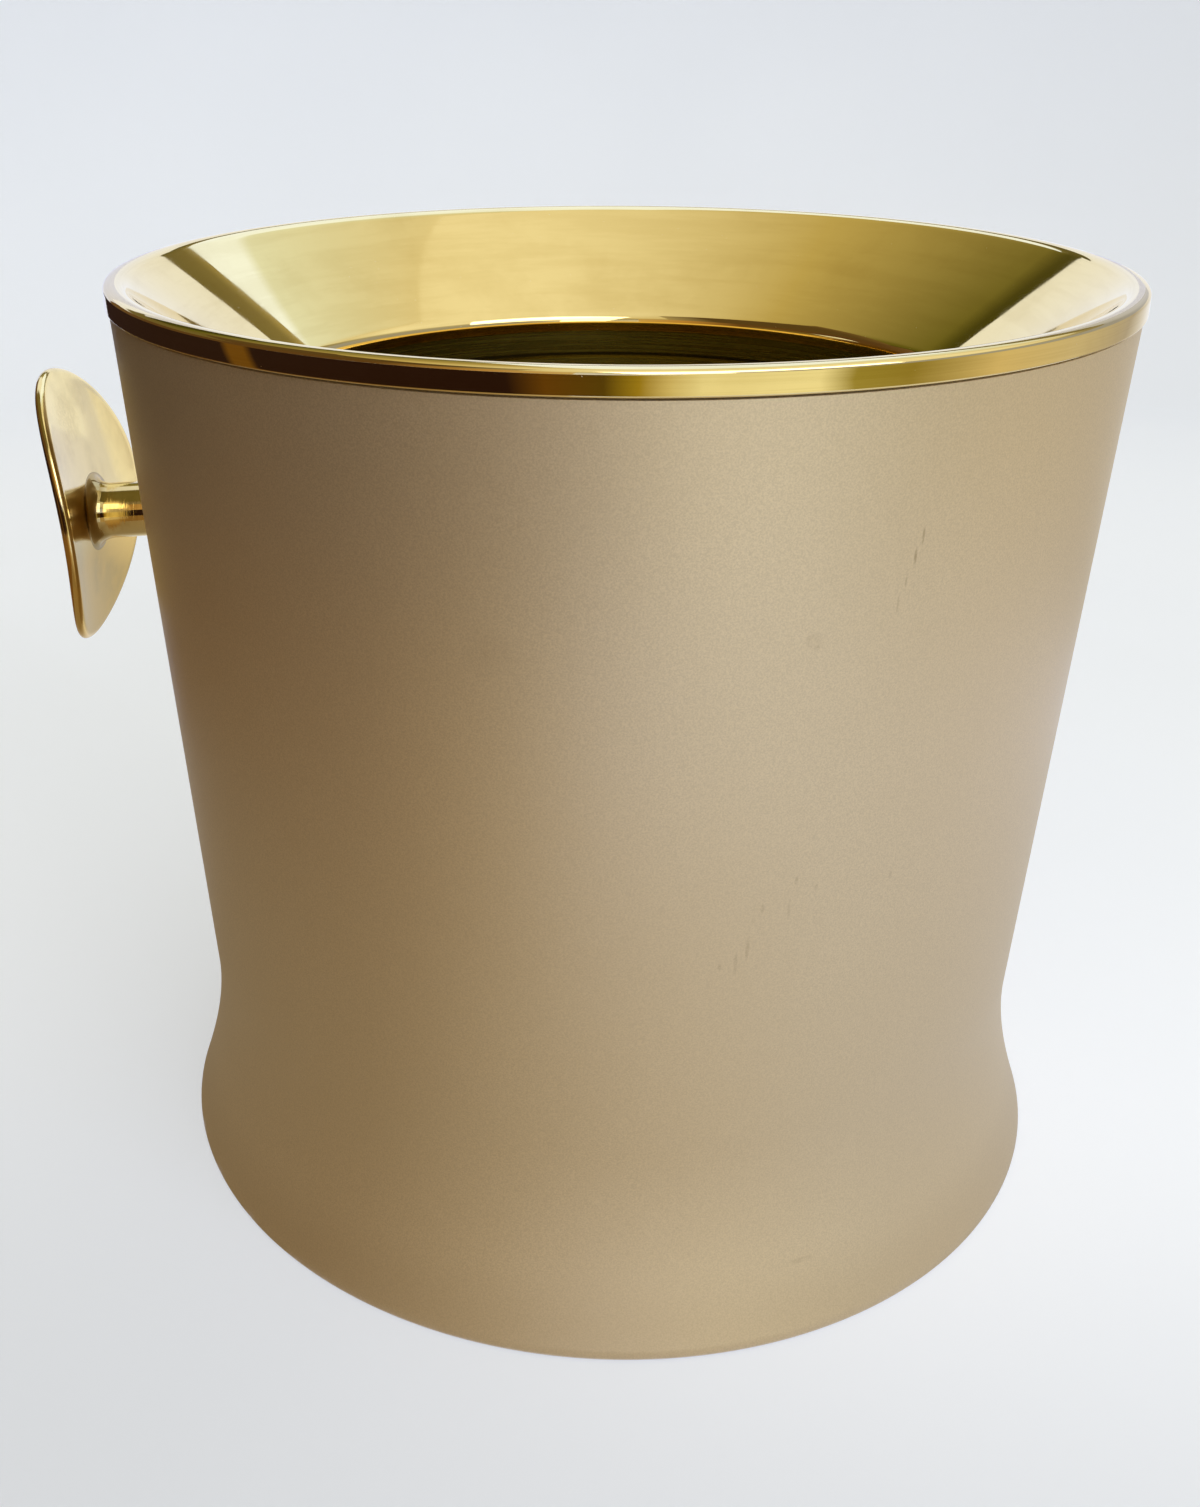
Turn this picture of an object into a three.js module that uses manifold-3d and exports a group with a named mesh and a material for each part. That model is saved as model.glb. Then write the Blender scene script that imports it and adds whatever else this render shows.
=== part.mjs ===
// Champagne bucket: a waisted spun shell, a brass funnel collar with a lift-out liner, and one plate handle.
// Millimetres, +Z up. The origin is the centre of the underside, and the handle points along -X.

import * as THREE from 'three';
import { mergeVertices } from 'three/addons/utils/BufferGeometryUtils.js';
import Module from 'manifold-3d';

const wasm = await Module();
wasm.setup();

// Whole object
const HEIGHT = 210; // table to the top of the lip
const RIM_RADIUS = 112.4; // outside of the brass band
const GAP = 0.3; // clearance between pieces that touch
const ROUND_STEPS = 64; // facets round the bucket
const SMALL_STEPS = 32; // facets round the handle's turned pieces
const ARC_STEPS = 4; // facets on a rounded edge or bend

// Outer shell: flared foot, waist, straight taper, top edge stepped in under the band
const SHELL_WALL = 2;
const FOOT_RADIUS = 107.5;
const FOOT_LIFT = 0.2; // foot edge above the table, because the pad carries the bucket
const FOOT_FLARE = -0.3525; // change of radius per rise at the foot edge
const TAPER_LOW = { radius: 99.9, height: 46 };
const TAPER_TOP = { radius: 111.58, height: 204.5 };
const EDGE_RADIUS = 110.8;
const EDGE_STEP = 0.3; // rise of the step below the edge
const EDGE_TOP = 206.6;
const FLARE_STEPS = 8;

// Funnel collar: band, tight corner, broad rounded lip, straight funnel, rounded bend and short neck
const COLLAR_SHEET = 1.2;
const BAND_LOW = 205; // lower edge of the band
const BAND_EDGE = 0.4; // rounding of that edge
const BAND_EDGE_STEPS = 2;
const CORNER_RADIUS = 1; // between the band and the lip
const CORNER_TURN = THREE.MathUtils.degToRad(70); // where the corner runs into the lip
const LIP_RADIUS = 4.3;
const FUNNEL_ANGLE = THREE.MathUtils.degToRad(41.6); // fall of the funnel below the level
const NECK_RADIUS = 78.9;
const NECK_BEND = 4.2;
const NECK_LENGTH = 1.8; // straight part below the bend

// Seat ring between the collar and the shell's edge
const SEAT_INNER_RADIUS = 108.6;
const SEAT_THICKNESS = 1;

// Liner: a cup whose top is drawn in a little to take the neck
const LINER_SHEET = 1;
const LINER_SOCKET_DEPTH = 9.3;
const LINER_STEP = 0.8; // how far the socket is drawn in
const LINER_FLOOR = 14; // inside floor above the table
const LINER_CORNER = 14;
const LINER_CORNER_STEPS = 5;
const LINER_LOW_RADIUS = 76; // inside, above the corner

// Base: dished disc pressed up into the foot, and the pad under it
const PAD_RADIUS = 98;
const PAD_THICKNESS = 3.8;
const PAD_BEVEL = 0.8;
const DISC_SHEET = 1.5;
const DISC_FLANGE_LOW = 7.2;
const DISC_FLANGE_TOP = 16;
const DISC_FLANGE_STEPS = 2;
const DISC_BEND = 3; // run and rise of the sloped bend between floor and flange

// Handle: saddle plate on a turned stem, screwed on from inside
const HANDLE_HEIGHT = 151.4; // where the stem's axis meets the wall
const PLATE_STANDOFF = 18.1; // wall to the middle of the plate's thickness
const PLATE_RISE = 1.9; // middle of the plate above the stem's axis
const PLATE_HALF_WIDTH = 27;
const PLATE_HALF_HEIGHT = 33;
const PLATE_THICKNESS = 2.5;
const PLATE_RINGS = [0.35, 0.65, 0.88]; // rings of points across the face, as shares of its radius
const PLATE_FLARE_RADIUS = 109; // top and bottom edges curve away from the shell
const STEM_RADIUS = 6.6;
const STEM_FLARE_RADIUS = 9.4;
const STEM_FLARE_LENGTH = 4.4; // of the fillet, along the stem
const GASKET_THICKNESS = 0.7;
const SCREW_RADIUS = 3;
const SCREW_HOLE_RADIUS = SCREW_RADIUS + GAP;
const SCREW_HOLE_LENGTH = 8; // of the cut through the shell's wall
const SCREW_REACH = 8.5; // engagement in the stem
const SCREW_HEAD_RADIUS = 5.5;
const SCREW_HEAD_HEIGHT = 3.6;
const SOCKET_RADIUS = 2.3;
const SOCKET_DEPTH = 2.2;
const SOCKET_SIDES = 6;
const WASHER_RADIUS = 6.2;
const WASHER_THICKNESS = 1.2;
const BACKING_RADIUS = 18;
const BACKING_THICKNESS = 1.6;
const BEDDING = 0.6; // clearance of a flat washer on the curved backing

// Colours and finishes
const champagne = { color: 0xae9a77, roughness: 0.42, metalness: 0.55 };
const polishedBrass = { color: 0xd9bd6a, roughness: 0.14, metalness: 1 };
const brushedBrass = { color: 0xa98d3c, roughness: 0.3, metalness: 1 };
const bareAluminium = { color: 0xb9bbbd, roughness: 0.45, metalness: 1 };
const steel = { color: 0x9c9ea1, roughness: 0.3, metalness: 1 };
const blackRubber = { color: 0x1d1c1b, roughness: 0.9, metalness: 0 };
const clearSilicone = { color: 0xc9c4b8, roughness: 0.6, metalness: 0 };

const at = (radius, height) => new THREE.Vector2(radius, height);

// Points on an arc of a profile. Angles are in radians from straight outwards, towards up.
function arc(centre, radius, from, to, steps) {
  const curve = new THREE.EllipseCurve(centre.x, centre.y, radius, radius, from, to, to < from);
  return curve.getPoints(steps);
}

// Body of revolution about Z. The profile runs up its outside, from axis to axis, or else is closed here.
function turned(profile, steps = ROUND_STEPS) {
  const onAxis = profile[0].x === 0 && profile.at(-1).x === 0;
  const points = onAxis ? profile : [...profile, profile[0]];
  return new THREE.LatheGeometry(points, steps).rotateX(Math.PI / 2);
}

function toSolid(geometry) {
  const bare = geometry.clone();
  bare.deleteAttribute('normal');
  bare.deleteAttribute('uv');
  const merged = mergeVertices(bare);
  const vertProperties = new Float32Array(merged.attributes.position.array);
  const triVerts = new Uint32Array(merged.index.array);
  return new wasm.Manifold(new wasm.Mesh({ numProp: 3, vertProperties, triVerts }));
}

function toGeometry(solid) {
  const { vertProperties, triVerts } = solid.getMesh();
  const geometry = new THREE.BufferGeometry();
  geometry.setAttribute('position', new THREE.BufferAttribute(vertProperties, 3));
  geometry.setIndex(new THREE.BufferAttribute(triVerts, 1));
  geometry.computeVertexNormals();
  return geometry;
}

function piece(name, geometry, finish) {
  const mesh = new THREE.Mesh(geometry, new THREE.MeshStandardMaterial(finish));
  mesh.name = name;
  return mesh;
}

// Outside radius of the shell: a cubic from the foot edge that meets both slopes, then the straight taper.
const TAPER = (TAPER_TOP.radius - TAPER_LOW.radius) / (TAPER_TOP.height - TAPER_LOW.height);

function shellRadius(height) {
  const rise = TAPER_LOW.height - FOOT_LIFT;
  const t = (height - FOOT_LIFT) / rise;
  if (t >= 1) {
    return TAPER_LOW.radius + TAPER * (height - TAPER_LOW.height);
  }
  const start = FOOT_RADIUS * (2 * t ** 3 - 3 * t ** 2 + 1);
  const startSlope = FOOT_FLARE * rise * (t ** 3 - 2 * t ** 2 + t);
  const end = TAPER_LOW.radius * (3 * t ** 2 - 2 * t ** 3);
  const endSlope = TAPER * rise * (t ** 3 - t ** 2);
  return start + startSlope + end + endSlope;
}

// Heights at even steps between two levels, ends included
function levels(low, high, steps) {
  return Array.from({ length: steps + 1 }, (_, i) => THREE.MathUtils.lerp(low, high, i / steps));
}

// The handle's own frame: Z straight out of the wall, X up the wall, origin on the shell's outside
const handle = new THREE.Group();
handle.position.set(-shellRadius(HANDLE_HEIGHT), 0, HANDLE_HEIGHT);
handle.rotation.y = -(Math.PI / 2 + Math.atan(TAPER));
handle.updateMatrix();

// Round bar along the stem's axis, in the bucket's frame, for holes and discs
function barThroughWall(radius, length) {
  const bar = new THREE.CylinderGeometry(radius, radius, length, SMALL_STEPS).rotateX(Math.PI / 2);
  return toSolid(bar.applyMatrix4(handle.matrix));
}

function outerShell() {
  const heights = levels(FOOT_LIFT, TAPER_LOW.height, FLARE_STEPS);
  const outside = heights.map((z) => at(shellRadius(z), z));
  const inside = heights.map((z) => at(shellRadius(z) - SHELL_WALL, z)).reverse();
  const stepTop = TAPER_TOP.height + EDGE_STEP;
  const profile = [
    ...outside,
    at(TAPER_TOP.radius, TAPER_TOP.height),
    at(EDGE_RADIUS, stepTop),
    at(EDGE_RADIUS, EDGE_TOP),
    at(EDGE_RADIUS - SHELL_WALL, EDGE_TOP),
    at(EDGE_RADIUS - SHELL_WALL, stepTop),
    at(TAPER_TOP.radius - SHELL_WALL, TAPER_TOP.height - SHELL_WALL),
    ...inside,
  ];
  const hole = barThroughWall(SCREW_HOLE_RADIUS, SCREW_HOLE_LENGTH);
  return toGeometry(toSolid(turned(profile)).subtract(hole));
}

// Upper face of the funnel, from the lip's arc down to the neck's bend
const UP_FROM_FUNNEL = Math.PI / 2 + FUNNEL_ANGLE; // direction of the funnel's upper face
const CORNER_TO_LIP = LIP_RADIUS - CORNER_RADIUS; // between the centres of the two roundings
const LIP_CENTRE = at(
  RIM_RADIUS - CORNER_RADIUS - CORNER_TO_LIP * Math.cos(CORNER_TURN),
  HEIGHT - LIP_RADIUS,
);
const CORNER_CENTRE = at(RIM_RADIUS - CORNER_RADIUS, LIP_CENTRE.y + CORNER_TO_LIP * Math.sin(CORNER_TURN));
const LIP_END = at(
  LIP_CENTRE.x + LIP_RADIUS * Math.cos(UP_FROM_FUNNEL),
  LIP_CENTRE.y + LIP_RADIUS * Math.sin(UP_FROM_FUNNEL),
);
const funnelHeight = (radius) => LIP_END.y - (LIP_END.x - radius) * Math.tan(FUNNEL_ANGLE);
const BEND_RADIAL = NECK_RADIUS + NECK_BEND;
const BEND_CENTRE = at(
  BEND_RADIAL,
  funnelHeight(BEND_RADIAL + NECK_BEND * Math.cos(UP_FROM_FUNNEL)) - NECK_BEND * Math.sin(UP_FROM_FUNNEL),
);
const NECK_LOW = BEND_CENTRE.y - NECK_LENGTH;
const NECK_OUTER_RADIUS = NECK_RADIUS + COLLAR_SHEET;

function funnelCollar() {
  const bandInner = RIM_RADIUS - COLLAR_SHEET;
  const lipInner = LIP_RADIUS - COLLAR_SHEET;
  const bandMeetsLip = Math.acos((bandInner - LIP_CENTRE.x) / lipInner);
  const bandEdgeCentre = at(RIM_RADIUS - BAND_EDGE, BAND_LOW + BAND_EDGE);
  return turned([
    at(bandInner, BAND_LOW),
    ...arc(bandEdgeCentre, BAND_EDGE, -Math.PI / 2, 0, BAND_EDGE_STEPS),
    ...arc(CORNER_CENTRE, CORNER_RADIUS, 0, CORNER_TURN, ARC_STEPS),
    ...arc(LIP_CENTRE, LIP_RADIUS, CORNER_TURN, UP_FROM_FUNNEL, ARC_STEPS).slice(1),
    ...arc(BEND_CENTRE, NECK_BEND, UP_FROM_FUNNEL, Math.PI, ARC_STEPS),
    at(NECK_RADIUS, NECK_LOW),
    at(NECK_OUTER_RADIUS, NECK_LOW),
    ...arc(BEND_CENTRE, NECK_BEND - COLLAR_SHEET, Math.PI, UP_FROM_FUNNEL, ARC_STEPS),
    ...arc(LIP_CENTRE, lipInner, UP_FROM_FUNNEL, bandMeetsLip, ARC_STEPS),
  ]);
}

function seatRing() {
  const low = EDGE_TOP + GAP;
  const top = low + SEAT_THICKNESS;
  const outer = RIM_RADIUS - COLLAR_SHEET - GAP;
  return turned([at(SEAT_INNER_RADIUS, low), at(outer, low), at(outer, top), at(SEAT_INNER_RADIUS, top)]);
}

function innerLiner() {
  const socketInner = NECK_OUTER_RADIUS + GAP;
  const top = BEND_CENTRE.y + GAP;
  const shoulder = top - LINER_SOCKET_DEPTH;
  const wall = socketInner + LINER_STEP;
  const cornerCentre = at(LINER_LOW_RADIUS - LINER_CORNER, LINER_FLOOR + LINER_CORNER);
  return turned([
    at(0, LINER_FLOOR - LINER_SHEET),
    ...arc(cornerCentre, LINER_CORNER + LINER_SHEET, -Math.PI / 2, 0, LINER_CORNER_STEPS),
    at(wall + LINER_SHEET, shoulder - LINER_STEP),
    at(socketInner + LINER_SHEET, shoulder),
    at(socketInner + LINER_SHEET, top),
    at(socketInner, top),
    at(socketInner, shoulder),
    at(wall, shoulder - LINER_STEP),
    ...arc(cornerCentre, LINER_CORNER, 0, -Math.PI / 2, LINER_CORNER_STEPS),
    at(0, LINER_FLOOR),
  ]);
}

function baseDisc() {
  const low = PAD_THICKNESS + GAP;
  const flangeRadius = (z) => shellRadius(z) - SHELL_WALL - GAP;
  const heights = levels(DISC_FLANGE_LOW, DISC_FLANGE_TOP, DISC_FLANGE_STEPS);
  const outside = heights.map((z) => at(flangeRadius(z), z));
  const inside = heights.map((z) => at(flangeRadius(z) - DISC_SHEET, z)).reverse();
  const floorRadius = flangeRadius(DISC_FLANGE_LOW) - DISC_BEND;
  return turned([
    at(0, low),
    at(floorRadius, low),
    ...outside,
    ...inside,
    at(floorRadius - DISC_SHEET / 2, low + DISC_SHEET),
    at(0, low + DISC_SHEET),
  ]);
}

function basePad() {
  return turned([
    at(0, 0),
    at(PAD_RADIUS - PAD_BEVEL, 0),
    at(PAD_RADIUS, PAD_BEVEL),
    at(PAD_RADIUS, PAD_THICKNESS),
    at(0, PAD_THICKNESS),
  ]);
}

// Oval saddle: curved round with the shell, with the top and bottom edges curving away from it.
// A round disc with a rounded edge is stretched to the oval and then bent.
function saddlePlate(thickness) {
  const half = thickness / 2;
  const flat = PLATE_HALF_WIDTH - half;
  const disc = turned(
    [
      at(0, -half),
      ...PLATE_RINGS.map((share) => at(flat * share, -half)),
      ...arc(at(flat, 0), half, -Math.PI / 2, Math.PI / 2, ARC_STEPS),
      ...PLATE_RINGS.map((share) => at(flat * share, half)).reverse(),
      at(0, half),
    ],
    SMALL_STEPS,
  );
  disc.scale(PLATE_HALF_HEIGHT / PLATE_HALF_WIDTH, 1, 1);
  const roundRadius = shellRadius(HANDLE_HEIGHT) + PLATE_STANDOFF;
  const place = disc.attributes.position;
  for (let i = 0; i < place.count; i += 1) {
    const towardsShell = place.getY(i) ** 2 / (2 * roundRadius);
    const awayFromShell = place.getX(i) ** 2 / (2 * PLATE_FLARE_RADIUS);
    place.setZ(i, place.getZ(i) + PLATE_STANDOFF - towardsShell + awayFromShell);
  }
  disc.translate(PLATE_RISE, 0, 0);
  return disc;
}

const GASKET_LOW = GAP;
const STEM_LOW = GASKET_LOW + GASKET_THICKNESS + GAP;

// Turned stem with a blind screw hole. Its flared end is shaped to the plate.
function handleStem() {
  const holeEnd = STEM_LOW + SCREW_REACH + GAP;
  const flareTop = PLATE_STANDOFF - PLATE_THICKNESS / 2;
  const fillet = new THREE.EllipseCurve(
    STEM_FLARE_RADIUS,
    flareTop - STEM_FLARE_LENGTH,
    STEM_FLARE_RADIUS - STEM_RADIUS,
    STEM_FLARE_LENGTH,
    Math.PI,
    Math.PI / 2,
    true,
  );
  const bar = turned(
    [
      at(0, holeEnd),
      at(SCREW_HOLE_RADIUS, holeEnd),
      at(SCREW_HOLE_RADIUS, STEM_LOW),
      at(STEM_RADIUS, STEM_LOW),
      ...fillet.getPoints(ARC_STEPS),
      at(STEM_FLARE_RADIUS, PLATE_STANDOFF),
      at(0, PLATE_STANDOFF),
    ],
    SMALL_STEPS,
  );
  const plateAndGap = saddlePlate(PLATE_THICKNESS + 2 * GAP);
  return toGeometry(toSolid(bar).subtract(toSolid(plateAndGap)));
}

// Flat ring on the stem's axis, between two distances from the wall's outside
function washer(radius, from, to) {
  return turned(
    [at(SCREW_HOLE_RADIUS, from), at(radius, from), at(radius, to), at(SCREW_HOLE_RADIUS, to)],
    SMALL_STEPS,
  );
}

const BACKING_OUTSIDE = SHELL_WALL + GAP; // depth of the backing's outer face below the shell's outside
const WASHER_TOP = -(BACKING_OUTSIDE + BACKING_THICKNESS + BEDDING);
const WASHER_LOW = WASHER_TOP - WASHER_THICKNESS;

// A round patch of the wall's own curve, inside the wall, with a hole for the screw
function handleBacking() {
  const heights = [HANDLE_HEIGHT - 2 * BACKING_RADIUS, HANDLE_HEIGHT + 2 * BACKING_RADIUS];
  const outside = heights.map((z) => at(shellRadius(z) - BACKING_OUTSIDE, z));
  const inside = heights.map((z) => at(shellRadius(z) - BACKING_OUTSIDE - BACKING_THICKNESS, z)).reverse();
  const sleeve = toSolid(turned([...outside, ...inside]));
  const length = 2 * BACKING_RADIUS;
  const patch = sleeve.intersect(barThroughWall(BACKING_RADIUS, length));
  return toGeometry(patch.subtract(barThroughWall(SCREW_HOLE_RADIUS, length)));
}

function handleScrew() {
  const headTop = WASHER_LOW - GAP;
  const headLow = headTop - SCREW_HEAD_HEIGHT;
  const crown = SCREW_HEAD_HEIGHT / 2; // radius of the head's rounded rim
  const crownCentre = at(SCREW_HEAD_RADIUS - crown, headLow + crown);
  const tip = STEM_LOW + SCREW_REACH;
  const blank = turned(
    [
      at(0, headLow),
      ...arc(crownCentre, crown, -Math.PI / 2, 0, ARC_STEPS),
      at(SCREW_HEAD_RADIUS, headTop),
      at(SCREW_RADIUS, headTop),
      at(SCREW_RADIUS, tip - GAP),
      at(SCREW_RADIUS - GAP, tip),
      at(0, tip),
    ],
    SMALL_STEPS,
  );
  const socket = new THREE.CylinderGeometry(SOCKET_RADIUS, SOCKET_RADIUS, 2 * SOCKET_DEPTH, SOCKET_SIDES);
  socket.rotateX(Math.PI / 2).translate(0, 0, headLow);
  return toGeometry(toSolid(blank).subtract(toSolid(socket)));
}

handle.add(
  piece('handle_plate', saddlePlate(PLATE_THICKNESS), polishedBrass),
  piece('handle_stem', handleStem(), polishedBrass),
  piece('handle_gasket', washer(STEM_RADIUS, GASKET_LOW, GASKET_LOW + GASKET_THICKNESS), clearSilicone),
  piece('handle_washer', washer(WASHER_RADIUS, WASHER_LOW, WASHER_TOP), steel),
  piece('handle_screw', handleScrew(), steel),
);

const bucket = new THREE.Group();
bucket.add(
  piece('outer_shell', outerShell(), champagne),
  piece('base_disc', baseDisc(), bareAluminium),
  piece('base_pad', basePad(), blackRubber),
  piece('funnel_collar', funnelCollar(), polishedBrass),
  piece('inner_liner', innerLiner(), brushedBrass),
  piece('seat_ring', seatRing(), clearSilicone),
  piece('handle_backing', handleBacking(), bareAluminium),
  handle,
);

export default bucket;
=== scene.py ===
"""Looks of the champagne bucket: smooth turned pieces, satin and brass finishes, a pale set, soft light."""

import math

import bmesh
import bpy
from mathutils import Matrix, Vector


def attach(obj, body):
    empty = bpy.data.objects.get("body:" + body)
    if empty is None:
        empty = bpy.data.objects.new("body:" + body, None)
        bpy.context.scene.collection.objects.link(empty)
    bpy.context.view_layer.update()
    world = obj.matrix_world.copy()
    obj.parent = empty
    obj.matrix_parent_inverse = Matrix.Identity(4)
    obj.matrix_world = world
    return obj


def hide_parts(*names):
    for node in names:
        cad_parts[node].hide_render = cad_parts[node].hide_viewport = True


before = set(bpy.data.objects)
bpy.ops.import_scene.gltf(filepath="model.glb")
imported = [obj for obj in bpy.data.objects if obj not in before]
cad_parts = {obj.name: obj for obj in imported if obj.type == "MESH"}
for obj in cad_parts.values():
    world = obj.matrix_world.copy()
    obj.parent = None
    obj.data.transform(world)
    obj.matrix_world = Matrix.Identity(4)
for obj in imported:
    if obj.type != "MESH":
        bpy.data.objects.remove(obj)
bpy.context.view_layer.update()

MM = 0.001
QUARTER = math.pi / 2

# Facets round the bucket, and round smaller turned pieces
ROUND_STEPS = 256
SMALL_STEPS = 96

# Whole object, as in the part's source
HEIGHT = 210 * MM
RIM_RADIUS = 112.4 * MM
GAP = 0.3 * MM

# Outer shell
SHELL_WALL = 2 * MM
FOOT_RADIUS = 107.5 * MM
FOOT_LIFT = 0.2 * MM
FOOT_FLARE = -0.3525
FOOT_EDGE = 0.6 * MM  # rounding of the sheet's lower edge
FOOT_EDGE_STEPS = 6
FLARE_STEPS = 28
TAPER_LOW_RADIUS = 99.9 * MM
TAPER_LOW = 46 * MM
TAPER_TOP_RADIUS = 111.58 * MM
TAPER_TOP = 204.5 * MM
TAPER = (TAPER_TOP_RADIUS - TAPER_LOW_RADIUS) / (TAPER_TOP - TAPER_LOW)
TAPER_STEPS = 12
EDGE_RADIUS = 110.8 * MM
EDGE_STEP = 0.3 * MM
EDGE_TOP = 206.6 * MM

# Funnel collar
COLLAR_SHEET = 1.2 * MM
STRAIGHT = 0.4 * MM  # from the end of a rounding to where the face counts as straight
BAND_LOW = 205 * MM
BAND_EDGE = 0.4 * MM  # rounding of the band's lower edge
BAND_EDGE_STEPS = 4
CORNER_RADIUS = 1 * MM
CORNER_TURN = math.radians(70)
CORNER_STEPS = 10
LIP_RADIUS = 4.3 * MM
LIP_STEPS = 20
FUNNEL_ANGLE = math.radians(41.6)
NECK_RADIUS = 78.9 * MM
NECK_BEND = 4.2 * MM
NECK_BEND_STEPS = 12
NECK_LENGTH = 1.8 * MM
UNDERSIDE_STEPS = 8  # on each bend of the collar's underside

# Seat ring and liner
SEAT_INNER_RADIUS = 108.6 * MM
SEAT_THICKNESS = 1 * MM
LINER_SHEET = 1 * MM
LINER_SOCKET_DEPTH = 9.3 * MM
LINER_STEP = 0.8 * MM
LINER_FLOOR = 14 * MM
LINER_CORNER = 14 * MM
LINER_CORNER_STEPS = 16
LINER_LOW_RADIUS = 76 * MM

# Base
PAD_RADIUS = 98 * MM
PAD_THICKNESS = 3.8 * MM
PAD_BEVEL = 0.8 * MM
PAD_BEVEL_STEPS = 6
DISC_SHEET = 1.5 * MM
DISC_FLANGE_LOW = 7.2 * MM
DISC_FLANGE_TOP = 16 * MM
DISC_FLANGE_STEPS = 6
DISC_BEND = 3 * MM

# Handle
HANDLE_HEIGHT = 151.4 * MM
PLATE_STANDOFF = 18.1 * MM
PLATE_RISE = 1.9 * MM
PLATE_HALF_WIDTH = 27 * MM
PLATE_HALF_HEIGHT = 33 * MM
PLATE_THICKNESS = 2.5 * MM
PLATE_FLARE_RADIUS = 109 * MM
PLATE_RINGS = 24
PLATE_EDGE_STEPS = 12
STEM_RADIUS = 6.6 * MM
STEM_FLARE_RADIUS = 9.4 * MM
STEM_FLARE_LENGTH = 4.4 * MM  # of the fillet, along the stem
STEM_LOW = 1.3 * MM
STEM_STEPS = 8
STEM_FILLET_STEPS = 16
STEM_END_STEPS = 6
SCREW_HOLE_RADIUS = 3.3 * MM
SCREW_HOLE_END = 10.1 * MM
WALL_HOLE_DEPTH = 8 * MM  # of the screw hole's cut, from the shell's outside
JOINT = 0.02 * MM  # between the stem's end and the plate

# Camera, solved from the photograph's outline of the bucket
IMAGE_WIDTH = 1200
IMAGE_HEIGHT = 1507
PRINCIPAL_X = 531.0
PRINCIPAL_Y = 618.6
FOCAL_PIXELS = 1606.2
SENSOR = 36
CLIP_START = 0.01
CAMERA_PLACE = Vector((0, -365.12, 263.6)) * MM
CAMERA_PAN = -0.0544
CAMERA_PITCH = 0.3640
CAMERA_ROLL = 0.0024


# Shapes

ON_AXIS = 1e-9  # a smaller radius than this is a point on the axis
SHARP_EDGE = math.radians(35)
PLATE_SHARP_EDGE = math.radians(60)


def levels(low, high, steps):
    """Values at even steps from one to another, both included."""
    return [low + (high - low) * i / steps for i in range(steps + 1)]


def on_circle(centre, radius, angle):
    return (centre[0] + radius * math.cos(angle), centre[1] + radius * math.sin(angle))


def arc(centre, radius, start, end, steps):
    """Points of a profile on an arc, from one angle to another, both included."""
    return [on_circle(centre, radius, angle) for angle in levels(start, end, steps)]


def shell_radius(height):
    """Outside of the shell: a cubic from the foot edge that meets both slopes, then the straight taper."""
    rise = TAPER_LOW - FOOT_LIFT
    t = (height - FOOT_LIFT) / rise
    if t >= 1:
        return TAPER_LOW_RADIUS + TAPER * (height - TAPER_LOW)
    start = FOOT_RADIUS * (2 * t**3 - 3 * t**2 + 1)
    start_slope = FOOT_FLARE * rise * (t**3 - 2 * t**2 + t)
    end = TAPER_LOW_RADIUS * (3 * t**2 - 2 * t**3)
    end_slope = TAPER * rise * (t**3 - t**2)
    return start + start_slope + end + end_slope


def new_object(name, mesh_data, sharp_edge=SHARP_EDGE):
    mesh = bpy.data.meshes.new(name)
    mesh_data.to_mesh(mesh)
    mesh_data.free()
    mesh.shade_smooth()
    mesh.set_sharp_from_angle(angle=sharp_edge)
    made = bpy.data.objects.new(name, mesh)
    bpy.context.scene.collection.objects.link(made)
    return made


def turned_mesh(profile, steps):
    """Closed body of revolution about Z. The profile runs up its outside and closes, or ends on the axis."""
    made = bmesh.new()
    on_axis = [radius < ON_AXIS for radius, _ in profile]
    rings = []
    for (radius, height), single in zip(profile, on_axis):
        count = 1 if single else steps
        ring = []
        for i in range(count):
            x, y = on_circle((0, 0), radius, 2 * math.pi * i / steps)
            ring.append(made.verts.new((x, y, height)))
        rings.append(ring)
    pairs = list(zip(rings, rings[1:]))
    if not (on_axis[0] and on_axis[-1]):
        pairs.append((rings[-1], rings[0]))
    for low, high in pairs:
        for i in range(steps):
            j = (i + 1) % steps
            corners = [low[i % len(low)], low[j % len(low)], high[j % len(high)], high[i % len(high)]]
            made.faces.new(list(dict.fromkeys(corners)))
    bmesh.ops.recalc_face_normals(made, faces=made.faces)
    return made


def turned(name, profile, steps=ROUND_STEPS):
    return new_object(name, turned_mesh(profile, steps))


# Handle frame: Z straight out of the wall, X up the wall, origin on the shell's outside
HANDLE_PLACE = Matrix.Translation((-shell_radius(HANDLE_HEIGHT), 0, HANDLE_HEIGHT))
HANDLE_FRAME = HANDLE_PLACE @ Matrix.Rotation(-(QUARTER + math.atan(TAPER)), 4, "Y")


def cut(piece, cutter):
    """Takes the cutter's shape out of a piece, and removes the cutter."""
    modifier = piece.modifiers.new("cut", "BOOLEAN")
    modifier.operation = "DIFFERENCE"
    modifier.solver = "EXACT"
    modifier.object = cutter
    with bpy.context.temp_override(object=piece, active_object=piece):
        bpy.ops.object.modifier_apply(modifier="cut")
    bpy.data.objects.remove(cutter)


def screw_hole():
    """Bar through the wall, which the shell's screw hole is cut with."""
    profile = [
        (0, -WALL_HOLE_DEPTH),
        (SCREW_HOLE_RADIUS, -WALL_HOLE_DEPTH),
        (SCREW_HOLE_RADIUS, SHELL_WALL),
        (0, SHELL_WALL),
    ]
    bar = turned_mesh(profile, SMALL_STEPS)
    bar.transform(HANDLE_FRAME)
    return new_object("hole", bar)


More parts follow.
